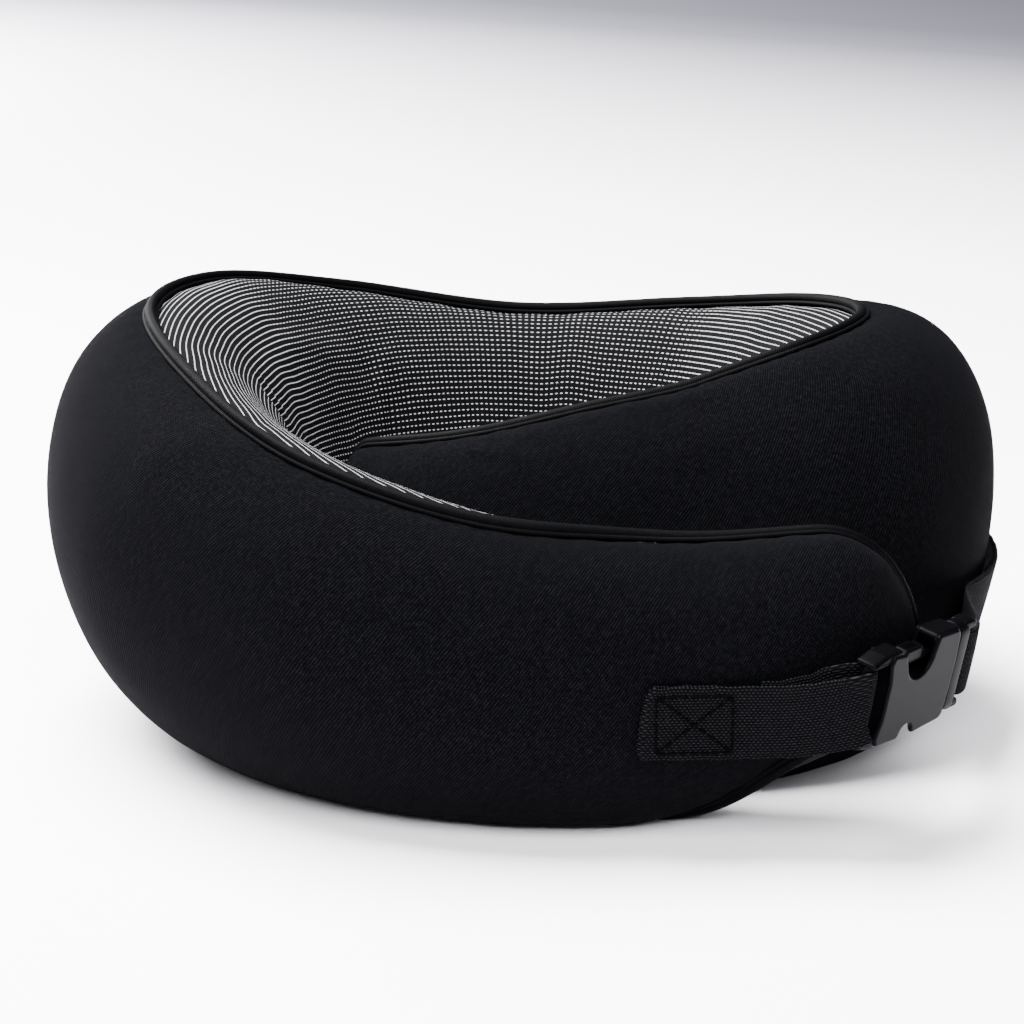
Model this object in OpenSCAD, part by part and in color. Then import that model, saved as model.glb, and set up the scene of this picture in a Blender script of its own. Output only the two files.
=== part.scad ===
// U shaped neck pillow with a side release buckle.
// Millimetres, +Z up, the buckle faces -Y, origin under the middle of the pillow on the resting surface.

/* [Pillow] */
// thickness of the stretch cover with its padding
cover_t = 2.0; // [1.2:0.1:3]
// gap between the cover and the foam core
foam_gap = 0.4; // [0.3:0.1:1]
// radius of the piping cord
piping_r = 1.9; // [1.2:0.1:2.4]
// height of the left arm's tip
tip_z_left = 46; // [40:70]
// height of the right arm's tip
tip_z_right = 62; // [50:80]
// gap on each side of the flex line of the left arm
flex_gap = 0.25; // [0.2:0.05:1]

/* [Strap] */
// width of the webbing
web_w = 20; // [16:1:25]
// thickness of the webbing
web_t = 1.5; // [1:0.1:2]
// side of the raised box stitch threads
thread = 0.5; // [0.4:0.1:0.8]

/* [Buckle] */
// middle of the socket half
buckle_at = [99.2, -114.3, 45.6];
// roll of the buckle, its lower edge tucked under the arm
buckle_roll = 12.4; // [0:0.1:40]
// width across the socket half
socket_w = 28; // [26:1:30]
// thickness of the socket half
socket_t = 8.4; // [8:0.1:10]
// wall of the socket half
socket_wall = 1.2; // [1:0.1:1.6]
// half length from the middle to the mouth
mouth_x = 19.5; // [18:0.5:22]
// radius of the prong root that turns in the plug half
root_r = 1.4; // [1:0.1:2]
// free gap round every prong root
root_gap = 0.35; // [0.3:0.05:0.6]

/* [Zipper] */
// half angle covered by the zipper along the back
zip_half = 12.5; // [8:0.5:14]
// radius of the zipper arc
zip_r = 173; // [170:0.5:180]
// middle of the zipper arc, across
zip_cx = -3; // [-6:1:0]
// middle of the zipper arc, towards the back
zip_cy = -49; // [-56:1:-42]
// height of the zipper
zip_z = 30; // [24:1:40]
// lean of the zipper following the cover
zip_tilt = 20.5; // [10:0.5:30]
// angle at which the slider rests, zipper closed
slider_at = 9.5; // [6:0.5:11]

/* [Hidden] */
$fn = 48;

// stations of the stuffed tube from the left arm's tip, round the back, to the right arm's tip:
// x, y, top, bottom, half thickness outwards, inwards, top seam turned inwards (degrees),
// lean (percent), bottom seam turned inwards (degrees)
ST = [
  [106, -90, 85, 34, 24, 22, 12, 9, 12],
  [73, -97, 84, 22, 27, 18, 16, 9, 13],
  [35, -99, 83, 2, 30, 20, 16, 9, 16],
  [-9, -98, 87, 0, 34, 25, 10, 9, 26],
  [-55, -81, 100, 0, 38, 30, 2,  12, 28],
  [-89, -44, 115, 0, 42, 34, 0,  12, 28],
  [-103, 4, 126, 0, 42, 36, -4, 12, 28],
  [-91, 50, 127, 0, 39, 34, -6, 9, 28],
  [-57, 84, 118, 0, 34, 31, -2, 9, 28],
  [-3, 98, 108, 0, 31, 30, 0,   9, 28],
  [51, 86, 112, 0, 34, 31, 0,   9, 28],
  [89, 52, 120, 0, 39, 34, 5,   9, 28],
  [100, 10, 124, 0, 42, 35, 12, 13, 28],
  [88, -29, 120, 0, 38, 31, 12, -12, 28],
  [57, -47, 111, 0, 21, 26, 10, -34, 28],
  [17, -46, 104, 0, 21, 25, 10, -24, 28],
  [-21, -35, 99, 6, 22, 24, 10, -10, 22],
  [-55, -10, 97, 50, 22, 22, 10, 0, 12]
];
flex_station = 7;
round_top = 30;
round_bottom = 18;
round_width = 46;
tip_start = 0.7;

function catmull(a, b, c, d, u) =
  0.5*(2*b + (c - a)*u + (2*a - 5*b + 4*c - d)*u*u + (3*b - a - 3*c + d)*u*u*u);
function station(t) =
  let (n = len(ST), i = max(0, min(floor(t), n - 2)), u = t - i)
  catmull(i > 0 ? ST[i-1] : 2*ST[0] - ST[1], ST[i], ST[i+1],
          i < n - 2 ? ST[i+2] : 2*ST[n-1] - ST[n-2], u);
function plan(t) = let (p = station(t)) [p[0], p[1]];

step = 0.05;
last = len(ST) - 1;
LENGTHS = [for (k = 0, a = 0; k <= last/step + 0.5;
                a = a + norm(plan((k+1)*step) - plan(k*step)), k = k + 1) [a, k*step]];
total = LENGTHS[len(LENGTHS)-1][0];
function t_of(s) = lookup(s, LENGTHS);
flex_s = LENGTHS[round(flex_station/step)][0];

function tip_z(s) = s < total/2 ? tip_z_left : tip_z_right;
function ease(v) = let (q = 1 - min(max(v, 0), 1)) sqrt(max(0, 1 - q*q));

// one section: [centre, outward normal, top, bottom, out, in, top seam, lean, bottom seam]
function section(s, inset) =
  let (t = t_of(s), p = station(t), d = min(s, total - s),
       e = plan(min(t + 0.01, last)) - plan(max(t - 0.01, 0)), n = [-e[1], e[0]]/norm(e),
       z = tip_z(s), top = z + (p[2] - z)*ease(d/round_top),
       bottom = z + (p[3] - z)*ease(d/round_bottom),
       w = ease(d/round_width))
  [[p[0], p[1]], n, top - min(inset, (top - bottom)*0.35), bottom + min(inset, (top - bottom)*0.35),
   p[4]*w - min(inset, p[4]*w*0.7), p[5]*w - min(inset, p[5]*w*0.7), p[6], p[7]/100, p[8]];

// point of a section at angle u, 0 at the top, growing round the outer side
function on_section(c, u) =
  let (mid = (c[2] + c[3])/2, half = (c[2] - c[3])/2, dz = half*cos(u),
       off = sin(u)*(sin(u) > 0 ? c[4] : c[5]) + c[7]*dz)
  [c[0][0] + c[1][0]*off, c[0][1] + c[1][1]*off, mid + dz];

// ring positions between s0 and s1, closer together near the tips
function rings(s0, s1, pitch) =
  let (tips = [1.6, 3, 5, 8, 12, 17, 23],
       head = [for (v = tips) if (v > s0 + 0.3 && v < s1 - pitch*0.4) v],
       tail = [for (i = [len(tips)-1:-1:0]) let (v = total - tips[i])
                 if (v > s0 + pitch*0.4 && v < s1 - 0.3) v],
       a = max(s0, 30), b = min(s1, total - 30), n = ceil((b - a)/pitch),
       body = [for (i = [1:n-1]) a + (b - a)*i/n])
  concat([s0], head, s0 < 30 ? [a] : [], body, s1 > total - 30 ? [b] : [], tail, [s1]);

// closed skin over a list of rings, "fan" ends for full sections and "strip" ends for open shells;
// crossed splits each quad along its other diagonal, as the inside of a shell does
module skin(r, ends = "fan", crossed = false) {
  n = len(r);
  m = len(r[0]);
  sides = [for (i = [0:n-2]) for (j = [0:m-1]) let (k = (j + 1) % m)
             each crossed ? [[i*m+j, (i+1)*m+j, i*m+k], [i*m+k, (i+1)*m+j, (i+1)*m+k]]
                          : [[i*m+j, (i+1)*m+j, (i+1)*m+k], [i*m+j, (i+1)*m+k, i*m+k]]];
  cap = ends == "fan"
    ? [for (j = [1:m-2]) [0, j, j+1]]
    : [for (j = [0:m/2-2]) each [[j, j+1, m-2-j], [j, m-2-j, m-1-j]]];
  polyhedron(points = [for (q = r) each q],
             faces = concat(sides, cap, [for (f = cap) [f[2]+(n-1)*m, f[1]+(n-1)*m, f[0]+(n-1)*m]]));
}

arc_n = 9;
ring_pitch = 13;
foam_start = 2.9;
seam_cut = 0.8;
function outer_angles(c, cut) =
  [for (i = [0:arc_n]) -c[6] + cut + (180 + c[6] + c[8] - 2*cut)*i/arc_n];
function inner_angles(c, cut) =
  [for (i = [0:arc_n]) 180 + c[8] + cut + (180 - c[6] - c[8] - 2*cut)*i/arc_n];

module panel(s0, s1, inner) {
  r = [for (s = rings(s0, s1, ring_pitch))
         let (c = section(s, 0), d = section(s, cover_t),
              a = inner ? inner_angles(c, seam_cut) : outer_angles(c, seam_cut), k = len(a) - 1)
         concat([for (u = a) on_section(c, u)], [for (i = [k:-1:0]) on_section(d, a[i])])];
  skin(r, "strip");
}

module foam(s0, s1) {
  r = [for (s = rings(s0, s1, ring_pitch)) if (min(s, total - s) > foam_start)
         let (c = section(s, cover_t + foam_gap))
         concat([for (i = [0:arc_n-1]) on_section(c, outer_angles(c, 0)[i])],
                [for (i = [0:arc_n-1]) on_section(c, inner_angles(c, 0)[i])])];
  skin(r, crossed = true);
}

function unit(v) = v/norm(v);

// middle of the cord: just outside the cover where the two panels meet, a little further near the tips
function cord_at(s, top) =
  let (c = section(s, 0), p = on_section(c, top ? -c[6] : 180 + c[8]),
       gap = 0.5 + 1.6*max(0, 1 - min(s, total - s)/30))
  p + (piping_r + gap)*unit(p - [c[0][0], c[0][1], (c[2] + c[3])/2]);

// end of the seam at a tip, where the cord turns from the top to the bottom
function cord_nose(s, way) =
  let (c = section(s, 0))
  [c[0][0], c[0][1], tip_z(s)] + way*(piping_r + 1.8)*[-c[1][1], c[1][0], 0];

module cord(path) {
  n = len(path);
  r = [for (i = [0:n-1])
         let (d = unit(path[min(i+1, n-1)] - path[max(i-1, 0)]),
              a = unit(cross(d, abs(d[2]) > 0.8 ? [0.6, 0.8, 0] : [0, 0, 1])), b = cross(a, d))
         [for (j = [0:5]) path[i] + piping_r*(a*cos(j*60) + b*sin(j*60))]];
  skin(r);
}

// ---- foam, cover and piping ----
module foam_core() color("ivory") foam(flex_s + flex_gap, total - tip_start);
module foam_arm() color("ivory") foam(tip_start, flex_s - flex_gap);
module outer_cover() color("#26262a") panel(flex_s + flex_gap, total - tip_start, false);
module outer_cover_arm() color("#26262a") panel(tip_start, flex_s - flex_gap, false);
module inner_cover() color("#55555a") panel(flex_s + flex_gap, total - tip_start, true);
module inner_cover_arm() color("#55555a") panel(tip_start, flex_s - flex_gap, true);

module piping() color("#101012") {
  up = rings(flex_s + flex_gap, total - tip_start, ring_pitch);
  n = len(up);
  nose = cord_nose(total - tip_start, -1);
  cord(concat([for (s = up) cord_at(s, true)], [nose], [for (i = [n-1:-1:0]) cord_at(up[i], false)]));
}

module piping_arm() color("#101012") {
  up = rings(tip_start, flex_s - flex_gap, ring_pitch);
  n = len(up);
  nose = cord_nose(tip_start, 1);
  cord(concat([for (i = [n-1:-1:0]) cord_at(up[i], true)], [nose], [for (s = up) cord_at(s, false)]));
}

// ---- webbing ----
// bars of webbing through points [x, y, z, roll]; the outer face looks to the right of travel
module ribbon(path, w = web_w, t = web_t) {
  n = len(path);
  r = [for (i = [0:n-1])
         let (a = path[max(i-1, 0)], b = path[min(i+1, n-1)], e = unit([b[0]-a[0], b[1]-a[1]]),
              out = [e[1], -e[0], 0], q = path[i][3], p = [path[i][0], path[i][1], path[i][2]],
              wide = cos(q)*[0, 0, 1] + sin(q)*out, thick = cos(q)*out - sin(q)*[0, 0, 1])
         [for (k = [[-1, -1], [1, -1], [1, 1], [-1, 1]]) p + k[0]*wide*w/2 + k[1]*thick*t/2]];
  skin(r);
}

LEFT_PATH = [[28, -131.6, 40, 0], [54, -130, 40, 0], [67, -130.9, 40.5, 2], [78, -132.2, 42.2, 4.5],
             [88.2, -133.2, 44.9, 7.2]];
FOLD_PATH = [[73, -128, 41.3, 6], [78.4, -128.5, 42.9, 9], [83.5, -128.4, 46.2, 12.4]];
RIGHT_PATH = [[126.7, -44.6, 44, 6], [132.7, -32.3, 44, 10], [136.7, -19.6, 44, 13], [138.9, -6.8, 44, 16],
              [139.7, 6.2, 44, 18], [139.3, 25, 44, 19]];

// threads of a box stitch with its cross, flat in the local XZ plane
module box_stitch(length, w) {
  h = atan2(w, length);
  d = norm([length, w]);
  for (s = [-1, 1]) {
    translate([-length/2, -thread/2, s*w/2 - thread/2]) cube([length, thread, thread]);
    translate([s*length/2 - thread/2, -thread/2, -w/2]) cube([thread, thread, w]);
    rotate([0, s*h, 0]) translate([-d/2, -thread/2, -thread/2]) cube([d, thread, thread]);
  }
}
module on_patch(a, b) {
  m = (a + b)/2;
  translate([m[0], m[1], m[2]]) rotate([0, 0, atan2(b[1]-a[1], b[0]-a[0])]) rotate([m[3], 0, 0])
    translate([0, -web_t/2 - thread/2 - 0.3, 0]) children();
}

module strap_left() color("#1c1c1f") ribbon(LEFT_PATH);
module strap_left_fold() color("#1c1c1f") ribbon(FOLD_PATH, web_w - 1, 1.2);
module strap_left_stitch() color("#050506")
  on_patch(LEFT_PATH[0], LEFT_PATH[1]) translate([0.5, 0, 0]) box_stitch(20, web_w - 4);
module strap_right() color("#1c1c1f") ribbon(RIGHT_PATH);
module strap_right_stitch() color("#050506")
  on_patch(RIGHT_PATH[4], RIGHT_PATH[5]) box_stitch(19, web_w - 4);

// ---- buckle: local X is the mating axis, local -Y the outer face, local Z the width ----
hinge_at = [-125.9, 70.1];
buckle_yaw = atan2(buckle_at[1] - hinge_at[1], buckle_at[0] - hinge_at[0]) + 90;
module in_buckle() translate(buckle_at) rotate([0, 0, buckle_yaw]) rotate([buckle_roll, 0, 0]) children();
module block(x0, x1, y0, y1, z0, z1) translate([x0, y0, z0]) cube([x1-x0, y1-y0, z1-z0]);
module bar_x(x0, x1, r, y, z) translate([x0, y, z]) rotate([0, 90, 0]) cylinder(r = r, h = x1 - x0);
module bar_y(y0, y1, r, x, z) translate([x, y1, z]) rotate([90, 0, 0]) cylinder(r = r, h = y1 - y0);
module bar_z(z0, z1, r, x, y) translate([x, y, z0]) cylinder(r = r, h = z1 - z0);

half_t = socket_t/2;
half_w = socket_w/2;
body_x = -13.5;
bar_at = -20.8;
module buckle_socket() color("#222226") in_buckle() {
  difference() {
    union() {
      block(body_x, mouth_x, -half_t, half_t, half_t - half_w, half_w - half_t);
      for (s = [-1, 1]) bar_x(body_x, mouth_x, half_t, 0, s*(half_w - half_t));
    }
    block(body_x + 3.5, mouth_x + 1, socket_wall - half_t, half_t - socket_wall, -12.6, 12.6);
    for (s = [-1, 1]) {
      block(-9, 6.2, -half_t - 1, half_t + 1, s > 0 ? 12.2 : -half_w - 1, s > 0 ? half_w + 1 : -12.2);
      bar_y(-half_t - 1, half_t + 1, 6.4, 0, s*10.2);
    }
  }
  for (s = [-1, 1])
    block(bar_at - 1.8, body_x + 0.5, -2, 2, s > 0 ? 11.6 : -13.4, s > 0 ? 13.4 : -11.6);
  bar_z(-12.4, 12.4, 1.6, bar_at, 0);
}

plug_x = mouth_x + 0.5;
root_x = plug_x + 2.4;
root_z = 8;
prong_y = 1.6;
module buckle_plug() color("#222226") in_buckle() {
  difference() {
    union() {
      block(plug_x, plug_x + 9.2, -3.6, 3.6, -9.9, 9.9);
      for (s = [-1, 1]) bar_x(plug_x, plug_x + 9.2, 3.6, 0, s*9.9);
    }
    block(plug_x + 4.9, plug_x + 7.2, -4, 4, -10.6, 10.6);
    for (s = [-1, 1]) {
      bar_y(-2, 2, root_r + root_gap, root_x, s*root_z);
      block(plug_x - 1, root_x, -2, 2, s*root_z - 1.7, s*root_z + 1.7);
    }
  }
  block(2, plug_x + 0.4, -prong_y, prong_y, -2.1, 2.1);
}

// spring prong, drawn for the upper side; its pad ends in the socket's side window
module prong(s) in_buckle() {
  bar_y(-prong_y, prong_y, root_r, root_x, s*root_z);
  block(-5, root_x, -prong_y, prong_y, s*root_z - 0.9, s*root_z + 0.9);
  block(-8, 2.4, -prong_y, prong_y, s > 0 ? root_z - 0.8 : -11.9, s > 0 ? 11.9 : 0.8 - root_z);
}
module prong_upper() color("#2c2c30") prong(1);
module prong_lower() color("#2c2c30") prong(-1);

// webbing folded round the rear bar of the plug half
module strap_loop() color("#1c1c1f") in_buckle() {
  x0 = plug_x + 9.6;
  for (s = [-1, 1]) block(x0, x0 + 7, s > 0 ? 0.6 : -2.1, s > 0 ? 2.1 : -0.6, -web_w/2, web_w/2);
  block(x0, x0 + 1.5, -1, 1, -web_w/2, web_w/2);
}

// ---- zipper on the back: local X along the zipper, local Y outwards, local Z across it ----
module in_zip(phi) translate([zip_cx, zip_cy, 0]) rotate([0, 0, -phi]) translate([0, zip_r, zip_z])
  rotate([-zip_tilt, 0, 0]) children();
function zip_point(h, d) =
  [zip_r + h*sin(zip_tilt) + d*cos(zip_tilt), zip_z + h*cos(zip_tilt) - d*sin(zip_tilt)];
module zip_band(h0, h1, d0, d1, half = zip_half)
  translate([zip_cx, zip_cy, 0]) rotate([0, 0, 90 - half]) rotate_extrude(angle = 2*half)
    polygon([zip_point(h0, d0), zip_point(h1, d0), zip_point(h1, d1), zip_point(h0, d1)]);

module zip_tape_upper() color("#18181a") zip_band(0.5, 7.5, 0.3, 1.0);
module zip_tape_lower() color("#18181a") zip_band(-7.5, -0.5, 0.3, 1.0);
module zip_coil() color("#101012") zip_band(-1.9, 1.9, 1.1, 2.3, zip_half - 0.8);
module zip_stops() color("#77777c")
  for (phi = [-zip_half + 0.35, zip_half - 0.35]) in_zip(phi) block(-0.45, 0.45, 1.1, 2.5, -2.4, 2.4);

pin_y = 6.2;
pin_r = 0.9;
module zip_slider() color("#5a5a60") in_zip(slider_at) {
  block(-4.5, 4.5, 2.8, 4.2, -3.9, 3.9);
  for (s = [-1, 1]) {
    block(-1.4, 1.4, 4.1, pin_y, s > 0 ? 2.7 : -3.9, s > 0 ? 3.9 : -2.7);
    bar_z(s > 0 ? 2.7 : -3.9, s > 0 ? 3.9 : -2.7, 1.4, 0, pin_y);
  }
  bar_z(-3.3, 3.3, pin_r, 0, pin_y);
}
module zip_pull() color("#5a5a60") in_zip(slider_at) difference() {
  union() {
    bar_z(-2.3, 2.3, 1.9, 0, pin_y);
    block(-17, 0, pin_y - 0.6, pin_y + 0.6, -2.3, 2.3);
    bar_y(pin_y - 0.6, pin_y + 0.6, 2.3, -17, 0);
  }
  bar_z(-3, 3, pin_r + 0.3, 0, pin_y);
  bar_y(pin_y - 2, pin_y + 2, 1.1, -17, 0);
}
module size_label() color("#b8b8bc") in_zip(-17)
  block(-8, 8, -0.85, -0.35, -5, 5);

foam_core();
foam_arm();
outer_cover();
outer_cover_arm();
inner_cover();
inner_cover_arm();
piping();
piping_arm();
strap_left();
strap_left_fold();
strap_left_stitch();
buckle_socket();
buckle_plug();
prong_upper();
prong_lower();
strap_loop();
strap_right();
strap_right_stitch();
zip_tape_upper();
zip_tape_lower();
zip_coil();
zip_stops();
zip_slider();
zip_pull();
size_label();
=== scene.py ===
"""Looks of the U shaped neck pillow: sewn cover, piping, webbing, buckle and zipper round the CAD frame."""

import math

import bmesh
import bpy
import numpy as np
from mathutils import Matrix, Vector


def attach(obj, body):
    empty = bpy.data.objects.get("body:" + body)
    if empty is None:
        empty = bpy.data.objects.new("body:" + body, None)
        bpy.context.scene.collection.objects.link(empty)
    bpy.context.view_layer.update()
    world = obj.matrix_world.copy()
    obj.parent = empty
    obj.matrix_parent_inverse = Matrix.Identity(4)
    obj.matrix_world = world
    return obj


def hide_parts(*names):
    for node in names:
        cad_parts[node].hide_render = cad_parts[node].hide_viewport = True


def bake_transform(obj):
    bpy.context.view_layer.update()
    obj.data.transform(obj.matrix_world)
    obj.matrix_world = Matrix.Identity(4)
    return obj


MM = 0.001
UV_MM = 100.0  # millimetres to one unit of the weave UV map
SEED = 7

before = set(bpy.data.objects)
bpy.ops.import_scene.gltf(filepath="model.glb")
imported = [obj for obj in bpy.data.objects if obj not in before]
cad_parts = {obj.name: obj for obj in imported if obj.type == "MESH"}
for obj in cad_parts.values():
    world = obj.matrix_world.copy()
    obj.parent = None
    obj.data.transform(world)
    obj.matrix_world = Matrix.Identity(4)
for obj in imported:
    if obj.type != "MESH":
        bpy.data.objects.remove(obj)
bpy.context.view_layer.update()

# ---------------------------------------------------------------- the stuffed tube, in millimetres
# x, y, top, bottom, half thickness outwards, inwards, top seam turned inwards (degrees), lean (percent),
# bottom seam turned inwards (degrees); from the left arm's tip, round the back, to the right arm's tip
STATIONS = np.array([
    [106, -90, 85, 29, 24, 22, 12, 9, -40],
    [73, -97, 84, 16, 27, 18, 16, 9, -46],
    [35, -99, 83, 1, 30, 20, 8, 9, 4],
    [-9, -98, 89, 0, 34, 25, -8, 9, 26],
    [-55, -81, 101.5, 0, 38, 30, -7, 12, 28],
    [-89, -44, 115, 0, 42, 34, 0, 12, 28],
    [-103, 4, 126, 0, 42, 36, -4, 12, 28],
    [-91, 50, 127, 0, 39, 34, -6, 9, 28],
    [-57, 84, 118, 0, 34, 31, -2, 9, 28],
    [-3, 98, 108, 0, 31, 30, 0, 9, 28],
    [51, 86, 112, 0, 34, 31, 0, 9, 28],
    [89, 52, 120, 0, 39, 34, 5, 9, 28],
    [100, 10, 124, 0, 42, 35, 12, 13, 28],
    [88, -29, 120, 0, 38, 31, 12, -12, 28],
    [57, -47, 111, 0, 21, 26, 10, -34, 28],
    [17, -46, 104, 0, 21, 25, 10, -24, 28],
    [-21, -35, 95, 6, 22, 24, 10, -10, 22],
    [-55, -10, 87, 50, 22, 22, 10, 0, 12],
], float)
LEFT_TIP_Z, RIGHT_TIP_Z = 46.0, 62.0
LEFT_ROUND_TOP, RIGHT_ROUND_TOP, ROUND_BOTTOM, ROUND_WIDTH = 30.0, 7.0, 18.0, 46.0
TIP_ZONE = 60.0
TIP_SHARE = 0.13  # share of the rings in each tip zone
TANGENT_STEP = 0.01
LENGTH_SAMPLES = 1501


def catmull(points, t):
    """Uniform Catmull-Rom through points at parameters t."""
    last = len(points) - 1
    t = np.clip(t, 0, last)
    i = np.minimum(np.floor(t).astype(int), last - 1)
    u = (t - i)[:, None]
    a = np.where((i > 0)[:, None], points[np.maximum(i - 1, 0)], 2 * points[0] - points[1])
    b, c = points[i], points[i + 1]
    end = 2 * points[last] - points[last - 1]
    d = np.where((i < last - 1)[:, None], points[np.minimum(i + 2, last)], end)
    return 0.5 * (2 * b + (c - a) * u + (2 * a - 5 * b + 4 * c - d) * u**2
                  + (3 * b - a - 3 * c + d) * u**3)


# station number and distance along the tube, side by side
_T = np.linspace(0, len(STATIONS) - 1, LENGTH_SAMPLES)
_S = np.concatenate([[0], np.cumsum(np.hypot(*np.diff(catmull(STATIONS, _T)[:, :2], axis=0).T))])
LENGTH = _S[-1]


def ease(v):
    """Quarter circle from 0 to 1."""
    v = np.clip(v, 0, 1)
    return np.sqrt(1 - (1 - v)**2)


def ring_positions(n):
    """Distances along the tube, closer together towards both tips."""
    k = int(n * TIP_SHARE)
    a = np.linspace(0, np.pi / 2, k, endpoint=False)
    head = TIP_ZONE * (1 - np.cos(a))
    return np.concatenate([head, np.linspace(TIP_ZONE, LENGTH - TIP_ZONE, n - 2 * k), LENGTH - head[::-1]])


def sections(s):
    """Centre, normal, top, bottom and half widths of the tube at distances s."""
    t = np.interp(s, _S, _T)
    p = catmull(STATIONS, t)
    ahead = catmull(STATIONS, np.minimum(t + TANGENT_STEP, len(STATIONS) - 1))
    e = ahead - catmull(STATIONS, np.maximum(t - TANGENT_STEP, 0))
    e = e[:, :2] / np.linalg.norm(e[:, :2], axis=1)[:, None]
    d = np.minimum(s, LENGTH - s)
    tip = np.where(s < LENGTH / 2, LEFT_TIP_Z, RIGHT_TIP_Z)
    top = tip + (p[:, 2] - tip) * ease(d / np.where(s < LENGTH / 2, LEFT_ROUND_TOP, RIGHT_ROUND_TOP))
    bottom = tip + (p[:, 3] - tip) * ease(d / ROUND_BOTTOM)
    w = ease(d / ROUND_WIDTH)
    return dict(xy=p[:, :2], n=np.stack([-e[:, 1], e[:, 0]], 1), mid=(top + bottom) / 2,
                half=(top - bottom) / 2, out=p[:, 4] * w, inn=p[:, 5] * w, lean=p[:, 7] / 100,
                top_turn=np.radians(p[:, 6]), bottom_turn=np.radians(p[:, 8]))


def tube_points(c, u):
    """Surface points for sections c at angles u, one row of angles per section."""
    dz = c["half"][:, None] * np.cos(u)
    side = np.sin(u)
    off = np.where(side > 0, side * c["out"][:, None], side * c["inn"][:, None]) + c["lean"][:, None] * dz
    x = c["xy"][:, :1] + c["n"][:, :1] * off
    y = c["xy"][:, 1:] + c["n"][:, 1:] * off
    return np.stack([x, y, c["mid"][:, None] + dz], 2)


OUT_STEPS, IN_STEPS, RINGS = 44, 36, 231


def panel_angles(c):
    """Angles round each section: the outer panel from seam to seam, then the inner panel."""
    a, b = c["top_turn"][:, None], c["bottom_turn"][:, None]
    f = np.linspace(0, 1, OUT_STEPS, endpoint=False)[None, :]
    g = np.linspace(0, 1, IN_STEPS, endpoint=False)[None, :]
    return np.concatenate([-a + (np.pi + a + b) * f, np.pi + b + (np.pi - a - b) * g], 1)


# ---------------------------------------------------------------- small helpers
def link(name, mesh):
    o = bpy.data.objects.new(name, mesh)
    bpy.context.scene.collection.objects.link(o)
    return o


def smooth(mesh):
    mesh.polygons.foreach_set("use_smooth", [True] * len(mesh.polygons))


def grid_mesh(name, points, uv=None, wrap=False):
    """Quad mesh over an (n, m, 3) array in millimetres, with a UV map called weave."""
    n, m = points.shape[:2]
    j = np.arange(m if wrap else m - 1)
    k = (j + 1) % m
    i = np.arange(n - 1)[:, None]
    faces = np.stack([i * m + j, i * m + k, (i + 1) * m + k, (i + 1) * m + j], 2).reshape(-1, 4)
    mesh = bpy.data.meshes.new(name)
    mesh.from_pydata((points.reshape(-1, 3) * MM).tolist(), [], faces.tolist())
    if uv is not None:
        layer = mesh.uv_layers.new(name="weave")
        loops = np.empty(len(mesh.loops), np.int32)
        mesh.loops.foreach_get("vertex_index", loops)
        layer.data.foreach_set("uv", uv.reshape(-1, 2)[loops].astype(np.float32).ravel())
    smooth(mesh)
    return mesh


def refine(a, k, axis):
    """Catmull-Rom subdivision of an array by k along an axis, ends kept."""
    a = np.moveaxis(a, axis, 0)
    n = len(a)
    t = np.linspace(0, n - 1, (n - 1) * k + 1)
    flat = catmull(a.reshape(n, -1), t)
    return np.moveaxis(flat.reshape((len(t),) + a.shape[1:]), 0, axis)


def value_noise(x, y, seed):
    """Smooth noise between -1 and 1 on a unit lattice."""
    table = np.random.default_rng(seed).uniform(-1, 1, (64, 64))
    xi, yi = np.floor(x).astype(int), np.floor(y).astype(int)
    fx, fy = x - xi, y - yi
    fx, fy = fx * fx * (3 - 2 * fx), fy * fy * (3 - 2 * fy)

    def at(a, b):
        return table[a % 64, b % 64]

    low = at(xi, yi) * (1 - fx) + at(xi + 1, yi) * fx
    high = at(xi, yi + 1) * (1 - fx) + at(xi + 1, yi + 1) * fx
    return low * (1 - fy) + high * fy


def normals_of(p):
    """Outward unit normals of an (n, m, 3) sheet."""
    a = np.gradient(p, axis=0)
    b = np.gradient(p, axis=1)
    n = np.cross(a, b)
    return n / np.maximum(np.linalg.norm(n, axis=2), 1e-9)[..., None]


# ---------------------------------------------------------------- cover: stuffed by a cloth simulation
START_IN, PIN_IN, SWELL_CAP = 0.5, 1.7, 0.7
HOLLOW_WIDTH = 5.0
TIP_RINGS = 3  # rings at each tip too small to simulate
PRESSURE, FRAMES = 40.0, 20
ROUNDING = 12.0  # sections thinner than this are drawn in less


def stuffed_tube():
    """The whole cover as an (n, m, 3) array: a slightly small tube, seams pinned, blown up by Cloth."""
    c = sections(ring_positions(RINGS))
    u = panel_angles(c)
    base = tube_points(c, u)
    wrapped = np.concatenate([base[:, -1:], base, base[:, :1]], 1)
    normal = normals_of(wrapped)[:, 1:-1]
    normal[[0, -1]] = normal[[1, -2]]
    room = np.minimum(1, np.minimum(c["out"], c["inn"]) / ROUNDING)[:, None, None]
    hollow = START_IN + (PIN_IN - START_IN) * np.exp(-(seam_distance(base)[..., None] / HOLLOW_WIDTH)**2)
    hollow *= room
    start = base - normal * hollow
    seam = np.zeros(base.shape[1], bool)
    seam[[0, OUT_STEPS]] = True
    blown = start.copy()
    blown[TIP_RINGS:-TIP_RINGS] = blow_up(start[TIP_RINGS:-TIP_RINGS], seam)
    lift = np.clip(((blown - base) * normal).sum(2), -hollow[..., 0], SWELL_CAP)
    return base + normal * lift[..., None], base, normal


def run_across(p):
    """Running length along each row of an (n, m, 3) sheet, in millimetres."""
    steps = np.cumsum(np.linalg.norm(np.diff(p, axis=1), axis=2), 1)
    return np.concatenate([np.zeros((len(p), 1)), steps], 1)


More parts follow.
